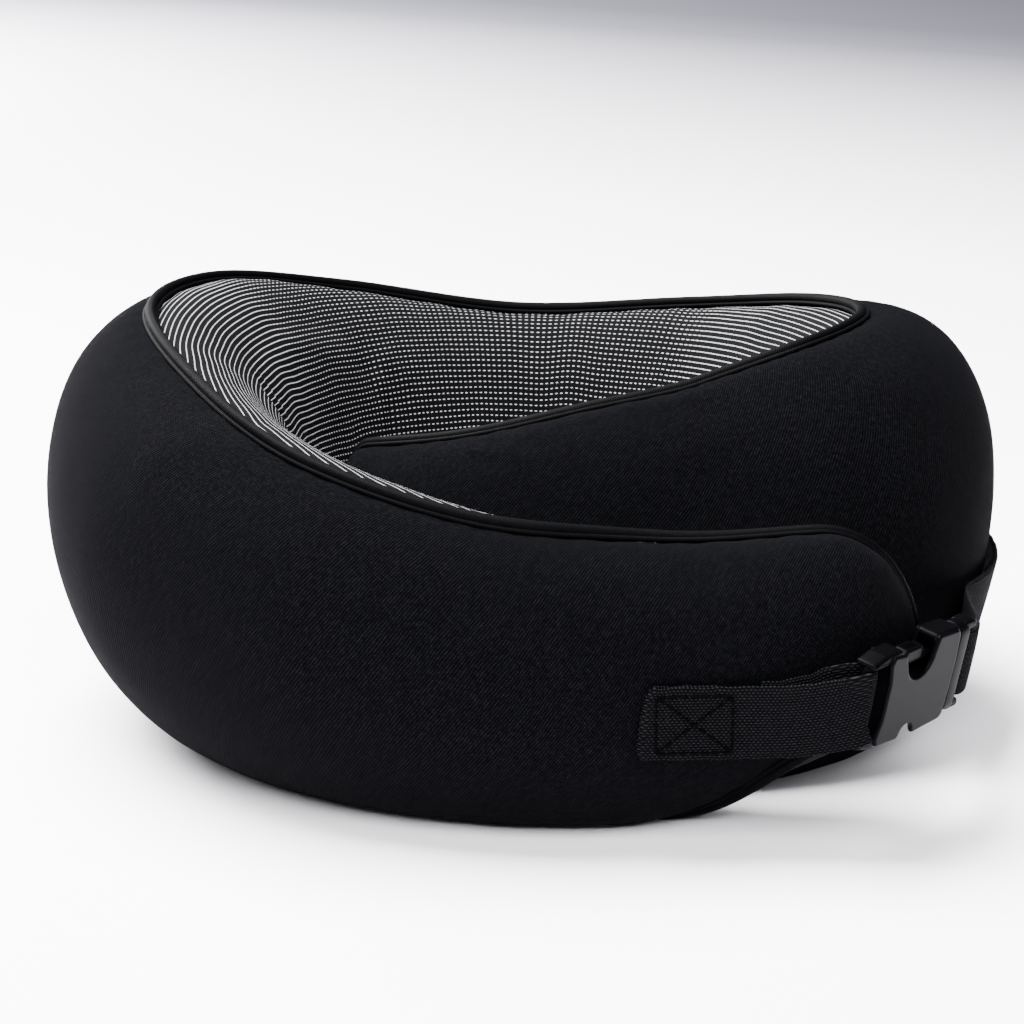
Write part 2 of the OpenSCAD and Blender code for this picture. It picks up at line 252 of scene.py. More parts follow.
def seam_distance(p):
    """Distance in millimetres from each point of the closed sections to the nearest seam."""
    run = run_across(np.concatenate([p, p[:, :1]], 1))
    total, low = run[:, -1:], run[:, OUT_STEPS:OUT_STEPS + 1]
    here = run[:, :-1]
    return np.minimum(np.minimum(here, total - here), np.abs(here - low))


def blow_up(start, seam):
    """The sheet after Blender's Cloth has blown it up, its seams and both ends pinned."""
    n, m = start.shape[:2]
    mesh = grid_mesh("cloth", start[:, ::-1], wrap=True)
    o = link("cloth", mesh)
    pins = o.vertex_groups.new(name="pins")
    rows = [i * m + j for i in range(n) for j in range(m) if seam[m - 1 - j] or i in (0, 1, n - 2, n - 1)]
    pins.add(rows, 1.0, "REPLACE")
    cloth = o.modifiers.new("cloth", "CLOTH")
    cs = cloth.settings
    cs.quality = 5
    cs.mass = 0.25
    cs.tension_stiffness = cs.compression_stiffness = 12
    cs.shear_stiffness = 6
    cs.bending_stiffness = 0.6
    cs.vertex_group_mass = "pins"
    cs.use_pressure = True
    cs.uniform_pressure_force = PRESSURE
    cs.effector_weights.gravity = 0
    cloth.collision_settings.use_collision = False
    scene = bpy.context.scene
    cloth.point_cache.frame_start, cloth.point_cache.frame_end = 1, FRAMES
    for f in range(1, FRAMES + 1):
        scene.frame_set(f)
    got = o.evaluated_get(bpy.context.evaluated_depsgraph_get()).data
    co = np.empty(len(got.vertices) * 3)
    got.vertices.foreach_get("co", co)
    bpy.data.objects.remove(o)
    bpy.data.meshes.remove(mesh)
    scene.frame_set(1)
    return co.reshape(n, m, 3)[:, ::-1] / MM


TUBE, BASE, BASE_N = stuffed_tube()
S_RINGS = ring_positions(RINGS)

# the left arm's pieces start at this ring, left of the middle of the back
SPLIT_STATION = 8.42
SPLIT = int(np.searchsorted(S_RINGS, np.interp(SPLIT_STATION, _T, _S)))
BEND_DIR = np.array([-0.5, -0.866])
BEND_Z = 0.06


def bend_left(o):
    """Bakes the placement of a piece of the left arm into its mesh."""

    def at(t):
        return BEND_DIR[0] * t * MM, BEND_DIR[1] * t * MM, BEND_Z

    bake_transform(o)


def run_along(p):
    """Running length along a line of points, in millimetres."""
    return np.concatenate([[0], np.cumsum(np.linalg.norm(np.diff(p, axis=0), axis=1))])


ROW_ZERO = 45.0  # height of the knit row that the others are counted from
ROW_ROUNDS = 400
PUCKER_OUTER, PUCKER_INNER, PUCKER_PITCH = 0.30, 0.35, 2.1
PUCKER_REACH, SEAM_CALM, TIP_CALM = 5.5, 1.5, 12.0
TUCK_DEPTH, TUCK_REACH = 1.2, 2.0
ROW_DRIFT, ROW_WOBBLE = 1.3, 0.75


def wrinkles(u, v, seam, pucker):
    """Height of the soft dents and of the puckers along the seams."""
    height = 0.28 * value_noise(u / 31, v / 24, SEED) + 0.12 * value_noise(u / 11, v / 13, SEED + 1)
    waves = np.sin(u / PUCKER_PITCH + 2.2 * value_noise(u / 17, v / 40, SEED + 2))
    height += pucker * waves * np.exp(-seam / PUCKER_REACH) * (1 - np.exp(-seam / SEAM_CALM))
    return height * np.clip(np.minimum(u, u[-1:] - u) / TIP_CALM, 0, 1)


def panel(outer):
    """Points and UVs of one whole panel, refined."""
    if outer:
        cols = np.arange(OUT_STEPS + 1)
    else:
        cols = np.arange(OUT_STEPS, OUT_STEPS + IN_STEPS + 1) % TUBE.shape[1]
    p, base, nrm = TUBE[:, cols], BASE[:, cols], BASE_N[:, cols]
    for axis in (0, 1):
        p, base, nrm = refine(p, 2, axis), refine(base, 2, axis), refine(nrm, 2, axis)
    across = run_across(base)
    seam = np.minimum(across, across[:, -1:] - across)
    level = np.abs(base[:, :, 2] - ROW_ZERO).argmin(1)
    zero = across[np.arange(len(base)), level][:, None]
    v = across - relax(np.concatenate([zero[:1], zero, zero[-1:]]), ROW_ROUNDS)[1:-1]
    u = np.repeat(run_along(base[:, base.shape[1] // 2])[:, None], base.shape[1], 1)
    p = p + nrm * wrinkles(u, v, seam, PUCKER_OUTER if outer else PUCKER_INNER)[..., None]
    if not outer:
        p = p - nrm * (TUCK_DEPTH * np.exp(-seam / TUCK_REACH))[..., None]
        v = v + ROW_DRIFT * value_noise(u / 42, v / 55, SEED + 4) \
            + ROW_WOBBLE * value_noise(u / 10, v / 26, SEED + 5)
    return p, np.stack([u, v], 2) / UV_MM


COVER_T = 0.9
SHARP = math.radians(60)


def cover_piece(name, p, uv, material):
    o = link(name, grid_mesh(name, p[:, ::-1], uv[:, ::-1]))
    thick = o.modifiers.new("thickness", "SOLIDIFY")
    thick.thickness = COVER_T * MM
    thick.offset = -1
    apply_modifiers(o)
    o.data.set_sharp_from_angle(angle=SHARP)
    o.data.materials.append(material)
    return o


def apply_modifiers(o):
    dg = bpy.context.evaluated_depsgraph_get()
    dg.update()
    new = bpy.data.meshes.new_from_object(o.evaluated_get(dg))
    old = o.data
    o.modifiers.clear()
    o.data = new
    bpy.data.meshes.remove(old)
    new.name = o.name
    return o


# ---------------------------------------------------------------- materials
def material(name):
    m = bpy.data.materials.new(name)
    m.use_nodes = True
    t = m.node_tree
    return m, t, t.nodes["Principled BSDF"]


def node(t, kind, **values):
    n = t.nodes.new(kind)
    for key, value in values.items():
        setattr(n, key, value)
    return n


def math_node(t, op, a, b=None, c=None):
    """A Math node on sockets or numbers; returns its output."""
    n = t.nodes.new("ShaderNodeMath")
    n.operation = op
    for i, v in enumerate((a, b, c)):
        if v is None:
            continue
        if isinstance(v, (int, float)):
            n.inputs[i].default_value = v
        else:
            t.links.new(v, n.inputs[i])
    return n.outputs[0]


def map_range(t, value, from_min, from_max, to_min, to_max):
    n = t.nodes.new("ShaderNodeMapRange")
    t.links.new(value, n.inputs["Value"])
    names = ("From Min", "From Max", "To Min", "To Max")
    for name, number in zip(names, (from_min, from_max, to_min, to_max)):
        n.inputs[name].default_value = number
    return n.outputs[0]


def weave_uv(t):
    """The weave UV map in millimetres, as two sockets."""
    uv = node(t, "ShaderNodeUVMap", uv_map="weave")
    sep = t.nodes.new("ShaderNodeSeparateXYZ")
    t.links.new(uv.outputs[0], sep.inputs[0])
    return [math_node(t, "MULTIPLY", sep.outputs[k], UV_MM) for k in (0, 1)]


def noise(t, scale, detail=2.0):
    n = t.nodes.new("ShaderNodeTexNoise")
    n.inputs["Scale"].default_value = scale
    n.inputs["Detail"].default_value = detail
    t.links.new(t.nodes.new("ShaderNodeTexCoord").outputs["Object"], n.inputs["Vector"])
    return n.outputs["Fac"]


def ramp(t, fac, stops):
    """Colour ramp through (position, colour) stops."""
    r = t.nodes.new("ShaderNodeValToRGB")
    t.links.new(fac, r.inputs[0])
    e = r.color_ramp.elements
    while len(e) < len(stops):
        e.new(0.5)
    for item, (pos, col) in zip(e, stops):
        item.position = pos
        item.color = (*col, 1)
    return r.outputs[0]


def surface(shader, rough, specular):
    shader.inputs["Roughness"].default_value = rough
    shader.inputs["Specular IOR Level"].default_value = specular


def bump(t, shader, height, strength, distance):
    b = t.nodes.new("ShaderNodeBump")
    b.inputs["Strength"].default_value = strength
    b.inputs["Distance"].default_value = distance
    t.links.new(height, b.inputs["Height"])
    t.links.new(b.outputs[0], shader.inputs["Normal"])


def wave(t, x, pitch):
    """0..1 ridges of that pitch along a socket in millimetres."""
    s = math_node(t, "SINE", math_node(t, "MULTIPLY", x, 2 * math.pi / pitch))
    return math_node(t, "MULTIPLY_ADD", s, 0.5, 0.5)


def slanted(t, u, v, a, b):
    """The sum a u + b v of two sockets."""
    return math_node(t, "ADD", math_node(t, "MULTIPLY", u, a), math_node(t, "MULTIPLY", v, b))


RIB_PITCH, LOOP_PITCH = 0.82, 0.7
RIB_DRIFT = 1.6


def jersey_material():
    """Fine black jersey: slanted ribs of loops under a light nap."""
    m, t, b = material("jersey")
    u, v = weave_uv(t)
    grain = noise(t, 900.0)
    drift = math_node(t, "SUBTRACT", noise(t, 60.0), 0.5)
    along = math_node(t, "ADD", slanted(t, u, v, 0.80, -0.60), math_node(t, "MULTIPLY", drift, RIB_DRIFT))
    rib = wave(t, along, RIB_PITCH)
    loop = wave(t, slanted(t, u, v, 0.60, 0.80), LOOP_PITCH)
    knit = math_node(t, "MULTIPLY", rib, math_node(t, "MULTIPLY_ADD", loop, 0.45, 0.55))
    knit = slanted(t, knit, grain, 0.45, 0.6)
    colour = ramp(t, knit, [(0.15, (0.0002, 0.0002, 0.0003)), (0.55, (0.0010, 0.0010, 0.0013)),
                            (0.9, (0.0046, 0.0046, 0.0058))])
    t.links.new(colour, b.inputs["Base Color"])
    surface(b, 0.9, 0.006)
    b.inputs["Sheen Weight"].default_value = 0.0025
    b.inputs["Sheen Roughness"].default_value = 0.5
    b.inputs["Sheen Tint"].default_value = (0.75, 0.77, 0.9, 1)
    bump(t, b, knit, 0.9, 0.0004)
    return m


DOTS_MIDDLE, DOTS_HALF = 330.0, 55.0  # where along the tube the rows are dotted, and not solid
DOTS_LOWEST = -14.0  # the lowest row; the panel is plain black below it
DOT_U, DOT_V, PITCH_U, PITCH_V = 0.42, 0.215, 1.55, 1.9
LINE_U, LINE_V = 0.12, 1.3  # how much a dot is stretched and thinned into a line
LINE_OVER, THIN_OVER = 22.0, 40.0


def dotted_knit_material():
    """Black knit with rows of pale dots, which run together into lines at both sides."""
    m, t, b = material("dotted_knit")
    u, v = weave_uv(t)
    row = math_node(t, "FLOOR", math_node(t, "DIVIDE", v, PITCH_V))
    fu, fv = [math_node(t, "SUBTRACT", math_node(t, "FRACT", math_node(t, "DIVIDE", x, pitch)), 0.5)
              for x, pitch in ((u, PITCH_U), (v, PITCH_V))]
    off = math_node(t, "ABSOLUTE", math_node(t, "SUBTRACT", u, DOTS_MIDDLE))
    long = map_range(t, off, DOTS_HALF, DOTS_HALF + LINE_OVER, 1.0, LINE_U)
    slim = map_range(t, off, DOTS_HALF, DOTS_HALF + THIN_OVER, 1.0, LINE_V)
    du = math_node(t, "MULTIPLY", math_node(t, "MULTIPLY", fu, PITCH_U / DOT_U), long)
    dv = math_node(t, "MULTIPLY", math_node(t, "MULTIPLY", fv, PITCH_V / DOT_V), slim)
    r2 = math_node(t, "ADD", math_node(t, "MULTIPLY", du, du), math_node(t, "MULTIPLY", dv, dv))
    dot = map_range(t, r2, 1.25, 0.75, 0.0, 1.0)
    shown = math_node(t, "MULTIPLY", dot, math_node(t, "GREATER_THAN", row, DOTS_LOWEST))
    grain = noise(t, 1100.0)
    mix = node(t, "ShaderNodeMix", data_type="RGBA")
    t.links.new(shown, mix.inputs[0])
    ground = ramp(t, grain, [(0.2, (0.0003, 0.0003, 0.0004)), (0.8, (0.0020, 0.0020, 0.0024))])
    white = ramp(t, grain, [(0.2, (0.10, 0.10, 0.103)), (0.8, (0.24, 0.24, 0.245))])
    t.links.new(ground, mix.inputs[6])
    t.links.new(white, mix.inputs[7])
    t.links.new(mix.outputs[2], b.inputs["Base Color"])
    surface(b, 0.9, 0.03)
    high = slanted(t, shown, wave(t, v, PITCH_V), 0.6, 0.3)
    high = math_node(t, "ADD", high, math_node(t, "MULTIPLY", grain, 0.3))
    bump(t, b, high, 0.6, 0.0003)
    return m


def satin_material(name, low, high, rough, pitch):
    """Woven satin on cords and thread: fine diagonal ribs."""
    m, t, b = material(name)
    u, v = weave_uv(t)
    rib = wave(t, math_node(t, "ADD", u, math_node(t, "MULTIPLY", v, 0.6)), pitch)
    h = slanted(t, rib, noise(t, 700.0), 0.5, 0.5)
    t.links.new(ramp(t, h, [(0.2, low), (0.8, high)]), b.inputs["Base Color"])
    surface(b, rough, 0.014)
    bump(t, b, h, 0.45, 0.0002)
    return m


WEFT_PITCH, WARP_PITCH = 1.2, 0.75


def webbing_material():
    """Webbing woven like bricks: every second warp is half a pick further on."""
    m, t, b = material("webbing")
    u, v = weave_uv(t)
    brick = math_node(t, "FLOOR", math_node(t, "DIVIDE", v, WARP_PITCH))
    shift = math_node(t, "MULTIPLY", math_node(t, "MODULO", brick, 2.0), WEFT_PITCH / 2)
    cell_u = wave(t, math_node(t, "ADD", u, shift), WEFT_PITCH)
    cell_v = wave(t, v, WARP_PITCH)
    h = math_node(t, "MULTIPLY", math_node(t, "MULTIPLY_ADD", cell_u, 0.6, 0.4),
                  math_node(t, "MULTIPLY_ADD", cell_v, 0.7, 0.3))
    h = slanted(t, h, noise(t, 800.0), 0.75, 0.3)
    colour = ramp(t, h, [(0.15, (0.0001, 0.0001, 0.00015)), (0.5, (0.0011, 0.0011, 0.0014)),
                         (0.95, (0.0095, 0.0095, 0.0112))])
    t.links.new(colour, b.inputs["Base Color"])
    surface(b, 0.8, 0.01)
    bump(t, b, h, 1.0, 0.0009)
    return m


def plastic_material(name, colour, rough):
    """Moulded plastic with a fine spark-eroded grain."""
    m, t, b = material(name)
    b.inputs["Base Color"].default_value = (*colour, 1)
    surface(b, rough, 0.013)
    bump(t, b, noise(t, 2600.0), 0.12, 0.00008)
    return m


def metal_material():
    m, t, b = material("lacquered_metal")
    b.inputs["Base Color"].default_value = (0.007, 0.007, 0.0078, 1)
    b.inputs["Metallic"].default_value = 0.6
    surface(b, 0.36, 0.15)
    bump(t, b, noise(t, 1500.0), 0.1, 0.0001)
    return m


def plain_fabric(name, colour, rough, scale):
    m, t, b = material(name)
    grain = noise(t, scale, 3)
    low = tuple(0.75 * x for x in colour)
    t.links.new(ramp(t, grain, [(0.25, low), (0.75, colour)]), b.inputs["Base Color"])
    surface(b, rough, 0.06)
    bump(t, b, grain, 0.5, 0.0004)
    return m


JERSEY = jersey_material()
DOTTED = dotted_knit_material()
SATIN = satin_material("piping_satin", (0.00015, 0.00015, 0.0002), (0.0010, 0.0010, 0.0013), 0.6, 0.7)
THREAD = satin_material("thread", (0.00005, 0.00005, 0.00006), (0.0003, 0.0003, 0.00035), 0.8, 0.5)
WEBBING = webbing_material()
PLASTIC = plastic_material("buckle_plastic", (0.0005, 0.0005, 0.0007), 0.4)
METAL = metal_material()
FOAM = plain_fabric("foam", (0.86, 0.84, 0.76), 0.95, 500.0)
COIL = plastic_material("zip_nylon", (0.0025, 0.0025, 0.003), 0.45)
TAPE = plain_fabric("zip_tape", (0.0022, 0.0022, 0.0026), 0.9, 900.0)
LABEL = plain_fabric("label", (0.035, 0.035, 0.038), 0.8, 1200.0)


# ---------------------------------------------------------------- cover pieces
def make_cover():
    for outer in (True, False):
        p, uv = panel(outer)
        cut = SPLIT * 2
        mat, slot_name = (JERSEY, "jersey") if outer else (DOTTED, "striped_knit")
        side = "outer" if outer else "inner"
        arm = cover_piece(f"cover_{side}_arm", p[:cut + 1], uv[:cut + 1], mat)
        back = cover_piece(f"cover_{side}_back", p[cut:], uv[cut:], mat)
        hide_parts(f"{side}_cover_arm")
        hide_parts(f"{side}_cover")
        bend_left(arm)
        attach(back, "pillow")


FOAM_IN, FOAM_END = 6.5, 5.0
FOAM_RINGS, FOAM_AROUND = 160, 40


def make_foam():
    """The two lengths of foam inside the cover."""
    rings = np.linspace(FOAM_END, LENGTH - FOAM_END, FOAM_RINGS)
    c = sections(rings)
    u = np.repeat(np.linspace(0, 2 * np.pi, FOAM_AROUND, endpoint=False)[None, :], FOAM_RINGS, 0)
    for key in ("half", "out", "inn"):
        c[key] = np.maximum(c[key] - FOAM_IN, c[key] * 0.3)
    p = tube_points(c, u)
    cut = int(np.searchsorted(rings, S_RINGS[SPLIT]))
    for name, part, cad in (("foam_left", p[:cut + 1], "foam_arm"), ("foam_back", p[cut:], "foam_core")):
        mesh = grid_mesh(name, part, wrap=True)
        o = link(name, mesh)
        close_ends(o)
        o.data.materials.append(FOAM)
        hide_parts(cad)
        if cad == "foam_arm":
            bend_left(o)
        else:
            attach(o, "pillow")


def close_ends(o):
    """Caps the open ends, and turns every face outwards."""
    bm = bmesh.new()
    bm.from_mesh(o.data)
    bmesh.ops.holes_fill(bm, edges=[e for e in bm.edges if e.is_boundary], sides=0)
    bmesh.ops.recalc_face_normals(bm, faces=bm.faces)
    bm.to_mesh(o.data)
    bm.free()


# ---------------------------------------------------------------- cords and ribbons
def sweep(path, frames, profile):
    """Sweeps a closed profile [(a, b)] along path with frames (A, B). Returns points and UVs."""
    a, b = frames
    p = path[:, None] + profile[None, :, :1] * a[:, None] + profile[None, :, 1:] * b[:, None]
    around = run_along(np.concatenate([profile, profile[:1]]))
    uv = np.stack(np.broadcast_arrays(run_along(path)[:, None], around[None, :-1]), 2) / UV_MM
    return p, uv


def circle(r, n=14, at=(0, 0)):
    a = np.linspace(0, 2 * np.pi, n, endpoint=False)
    return np.stack([at[0] + r * np.cos(a), at[1] + r * np.sin(a)], 1)


def resample(path, step):
    """The path again in even steps, whatever its columns hold after x, y and z."""
    run = run_along(path)
    keep = np.concatenate([[True], np.diff(run) > 1e-6])
    path, run = path[keep], run[keep]
    s = np.linspace(0, run[-1], int(run[-1] / step) + 1)
    return np.stack([np.interp(s, run, path[:, k]) for k in range(path.shape[1])], 1)


def relax(p, rounds):
    """Smooths the inner rows of p in place."""
    for _ in range(rounds):
        p[1:-1] = 0.25 * p[:-2] + 0.5 * p[1:-1] + 0.25 * p[2:]
    return p


PIPE_R = 1.65
# radius and offset of the cord and of the stitched ridge on either side of it
CORD = ((PIPE_R, (0.1, 0.0)), (0.8, (-0.95, 1.75)), (0.7, (-1.15, -1.6)))
SEAM_STEP, SEAM_PAD = 1.2, 30


def seam_loop():
    """The whole seam as a loop from the split, round the left tip and then the right, with its frames."""
    n, k = len(S_RINGS), OUT_STEPS
    order = [(SPLIT - i, 0) for i in range(SPLIT)] + [(i, k) for i in range(1, n - 1)]
    order += [(i, 0) for i in range(n - 2, SPLIT - 1, -1)]
    rows, cols = np.array(order).T
    both = np.concatenate([BASE[rows, cols], BASE_N[rows, cols]], 1)
    both = resample(both, SEAM_STEP)[:-1]
    both = np.concatenate([both[-SEAM_PAD:], both, both[:SEAM_PAD + 1]])
    path, nrm = relax(both[:, :3].copy(), 3), relax(both[:, 3:].copy(), 12)
    d = np.gradient(path, axis=0)
    d /= np.linalg.norm(d, axis=1)[:, None]
    nrm -= (nrm * d).sum(1)[:, None] * d
    nrm /= np.linalg.norm(nrm, axis=1)[:, None]
    keep = slice(SEAM_PAD, -SEAM_PAD)
    return path[keep], nrm[keep], np.cross(d, nrm)[keep]


def make_piping():
    """Covered cord in the seam, with the stitched ridge beside it."""
    path, nrm, across = seam_loop()
    cut = int(np.linalg.norm(path - BASE[SPLIT, OUT_STEPS], axis=1).argmin())
    jobs = (("piping_left", slice(0, cut + 1), "piping_arm"), ("piping_back", slice(cut, None), "piping"))
    for name, part, cad in jobs:
        meshes = []
        for r, shift in CORD:
            p, uv = sweep(path[part], (nrm[part], across[part]), circle(r, at=shift))
            meshes.append(grid_mesh(name, p[:, ::-1], uv[:, ::-1], wrap=True))
        o = join_meshes(name, meshes)
        close_ends(o)
        o.data.set_sharp_from_angle(angle=SHARP)
        o.data.materials.append(SATIN)
        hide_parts(cad)
        if cad == "piping_arm":
            bend_left(o)
        else:
            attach(o, "pillow")


def join_meshes(name, meshes):
    bm = bmesh.new()
    for mesh in meshes:
        bm.from_mesh(mesh)
        bpy.data.meshes.remove(mesh)
    mesh = bpy.data.meshes.new(name)
    bm.to_mesh(mesh)
    bm.free()
    smooth(mesh)
    return link(name, mesh)


make_cover()
make_foam()
make_piping()

# ---------------------------------------------------------------- buckle frame and webbing
BUCKLE_AT = np.array([99.2, -114.3, 45.6])
BUCKLE_ROLL = math.radians(12.4)
HINGE_AT = np.array([-125.9, 70.1])
BUCKLE_YAW = math.atan2(*(BUCKLE_AT[:2] - HINGE_AT)[::-1]) + math.pi / 2


def turned(yaw, roll):
    """Columns are the local axes after a roll about X and then a yaw about Z."""
    cy, sy, cr, sr = math.cos(yaw), math.sin(yaw), math.cos(roll), math.sin(roll)
    return np.array([[cy, -sy * cr, sy * sr], [sy, cy * cr, -cy * sr], [0, sr, cr]])


BUCKLE_AXES = turned(BUCKLE_YAW, BUCKLE_ROLL)
MATE, INWARD, WIDE = BUCKLE_AXES.T


def in_buckle(p):
    return np.asarray(p, float) @ BUCKLE_AXES.T + BUCKLE_AT


WEB_W, WEB_T, WEB_BOW = 20.0, 1.5, 0.25
EDGE_WAVER = 0.22  # how uneven its edges are
LEFT_PATH = [[30.2, -131.6, 40, 0], [54, -130, 40, 0], [67, -130.9, 40.5, 2], [78, -132.2, 42.2, 4.5],
             [88.2, -133.2, 44.9, 7.2]]
FOLD_PATH = [[83.2, -128.6, 46, 12.4], [76, -128.4, 43, 9], [68, -128.4, 41.2, 5], [61, -128.2, 40.6, 2]]
RIGHT_PATH = [[126.7, -44.6, 44, 6], [132.7, -32.3, 44, 10], [136.7, -19.6, 44, 13], [138.9, -6.8, 44, 16],
              [139.7, 6.2, 44, 18], [139.3, 24.4, 44, 19]]
BAR_X, LOOP_X = -20.8, 28.2


def guided(points, step=1.2):
    """Path, outward direction and width direction along given points [x, y, z, roll]."""
    q = np.array(points, float)
    fine = resample(catmull(q, np.linspace(0, len(q) - 1, 60 * len(q))), step)
    path, roll = fine[:, :3], np.radians(fine[:, 3])[:, None]
    d = np.gradient(path, axis=0)
    d = d[:, :2] / np.linalg.norm(d[:, :2], axis=1)[:, None]
    out = np.stack([d[:, 1], -d[:, 0], np.zeros(len(d))], 1)
    up = np.array([0, 0, 1.0])
    return path, np.cos(roll) * out - np.sin(roll) * up, np.cos(roll) * up + np.sin(roll) * out


def webbing_profile(w, thick, bow=0.0, n=12):
    """Flat band with rounded edges; the middle stands bow proud of the edges."""
    r = thick / 2
    across = np.linspace(-w / 2 + r, w / 2 - r, n)
    lift = bow * (1 - (2 * across / w)**2)
    a = np.linspace(0, np.pi, 6)[1:-1]
    right = np.stack([r * np.cos(a), w / 2 - r + r * np.sin(a)], 1)
    left = np.stack([-r * np.cos(a), -w / 2 + r - r * np.sin(a)], 1)
    face = np.stack([lift + r, across], 1)
    back = np.stack([lift - r, across], 1)[::-1]
    return np.concatenate([face, right, back, left])


def band(path, wide):
    """Points and UVs of webbing along a path, its edges slightly uneven."""
    wide = relax(wide.copy(), 6)
    d = np.gradient(path, axis=0)
    d /= np.linalg.norm(d, axis=1)[:, None]
    wide -= (wide * d).sum(1)[:, None] * d
    wide /= np.linalg.norm(wide, axis=1)[:, None]
    face = np.cross(d, wide)
    prof = webbing_profile(WEB_W, WEB_T, WEB_BOW)
    side = np.sign(prof[None, :, 1])
    waver = EDGE_WAVER * value_noise(run_along(path)[:, None] / 2.3, side * 3 + 9, SEED + 6)
    spread = np.where(np.abs(prof[None, :, 1]) > WEB_W / 2 - WEB_T, waver, 0) * side
    p = (path[:, None] + prof[None, :, :1] * face[:, None]
         + (prof[None, :, 1:] + spread[..., None]) * wide[:, None])
    uv = np.stack(np.broadcast_arrays(run_along(path)[:, None], prof[None, :, 1]), 2) / UV_MM
    return p, uv


def finish_piece(o, mat, slot_name, body, *nodes):
    o.data.materials.append(mat)
    if nodes:
        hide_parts(*nodes)
    if body:
        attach(o, body)
    return o


def web_piece(name, path, wide, body, *nodes):
    p, uv = band(path, wide)
    o = link(name, grid_mesh(name, p, uv, wrap=True))
    close_ends(o)
    return finish_piece(o, WEBBING, "webbing", body, *nodes)


def turn_round(centre, a, b, start, end, r, n=9):
    """Arc about centre in the plane of a and b, angles in degrees."""
    t = np.radians(np.linspace(start, end, n))[:, None]
    return centre + r * (np.cos(t) * a + np.sin(t) * b)


def slant_end(o, x0):
    """Leans the folded end of the strap, its upper corner further along, corners slightly rounded."""
    co = np.empty(len(o.data.vertices) * 3)
    o.data.vertices.foreach_get("co", co)
    co = co.reshape(-1, 3)
    up = (co[:, 2] / MM - LEFT_PATH[0][2]) / (WEB_W / 2)
    near = np.clip(1 - (co[:, 0] / MM - x0) / 16, 0, 1)
    co[:, 0] += (1.5 * up + 1.3 * np.abs(up)**6 * near**3) * near * MM
    o.data.vertices.foreach_set("co", co.ravel())
    o.data.update()


FOLD_R, FOLD_POINTS, TURN_POINTS, RELAX_FROM = 0.8, 16, 7, 30


def make_left_strap():
    """Webbing folded under at its sewn end, running to the socket's bar and back behind itself."""
    top, face, wide = guided(LEFT_PATH)
    away = (top[0] - top[1]) / np.linalg.norm(top[1] - top[0])
    turn = turn_round(top[0] - FOLD_R * face[0], away, face[0], -80, 80, FOLD_R, TURN_POINTS)
    under = (top - 2 * FOLD_R * face)[FOLD_POINTS:0:-1]
    wrap = turn_round(in_buckle([BAR_X, 0, 0]), MATE, -INWARD, 143, -42, 2.7)
    strap = np.concatenate([under, turn, top[:-2], wrap[:TURN_POINTS]])
    across = np.concatenate([wide[FOLD_POINTS:0:-1], np.repeat(wide[:1], TURN_POINTS, 0), wide[:-2],
                             np.repeat(WIDE[None], TURN_POINTS, 0)])
    strap[RELAX_FROM:] = relax(strap[RELAX_FROM:].copy(), 4)
    across[RELAX_FROM:] = relax(across[RELAX_FROM:].copy(), 25)
    o = web_piece("strap_left_web", strap, across, "left_arm", "strap_left")
    slant_end(o, top[0, 0])
    fold, _, wide_fold = guided(FOLD_PATH)
    path = np.concatenate([wrap[5:], fold])
    across = np.concatenate([np.repeat(WIDE[None], 4, 0), wide_fold * np.sign(wide_fold @ WIDE)[:, None]])
    web_piece("strap_left_return", path, across, "left_arm", "strap_left_fold")
    box_stitches("strap_left_stitches", top, face, wide, 2.4, 22.6, "left_arm", "strap_left_stitch")


def make_right_strap():
    """Webbing looped round the plug's bar, then laid along the flank to its sewn end."""
    flank, face, wide = guided(RIGHT_PATH)
    bar = in_buckle([LOOP_X, 0, 0])
    loop = turn_round(bar, MATE, -INWARD, 270, 90, 2.0)
    back = in_buckle([[34.0, 1.2, 0], [32.5, 1.5, 0], [30.5, 1.9, 0]])
    ahead = in_buckle([[29.5, -2.0, 0]])
    f = np.linspace(0, 1, 40)[1:-1, None]
    pull, lay = MATE * 26, (flank[1] - flank[0]) / np.linalg.norm(flank[1] - flank[0]) * 34
    bridge = ((2 * f**3 - 3 * f**2 + 1) * ahead[-1] + (f**3 - 2 * f**2 + f) * pull
              + (3 * f**2 - 2 * f**3) * flank[0] + (f**3 - f**2) * lay)
    path = np.concatenate([back, loop, ahead, bridge, flank])
    across = np.concatenate([np.repeat(WIDE[None], len(back) + len(loop) + len(ahead), 0),
                             (1 - f) * WIDE + f * wide[0], wide])
    o = web_piece("strap_right_web", path, across, None, "strap_right", "strap_loop")
    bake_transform(o)
    run = run_along(flank)[-1]
    box_stitches("strap_right_stitches", flank, face, wide, run - 22.0, run - 2.4,
                 "pillow", "strap_right_stitch")


STITCH, STITCH_R, STITCH_EDGE = 2.7, 0.38, 2.2
STITCH_SINK, STITCH_RISE = 0.22, 0.42


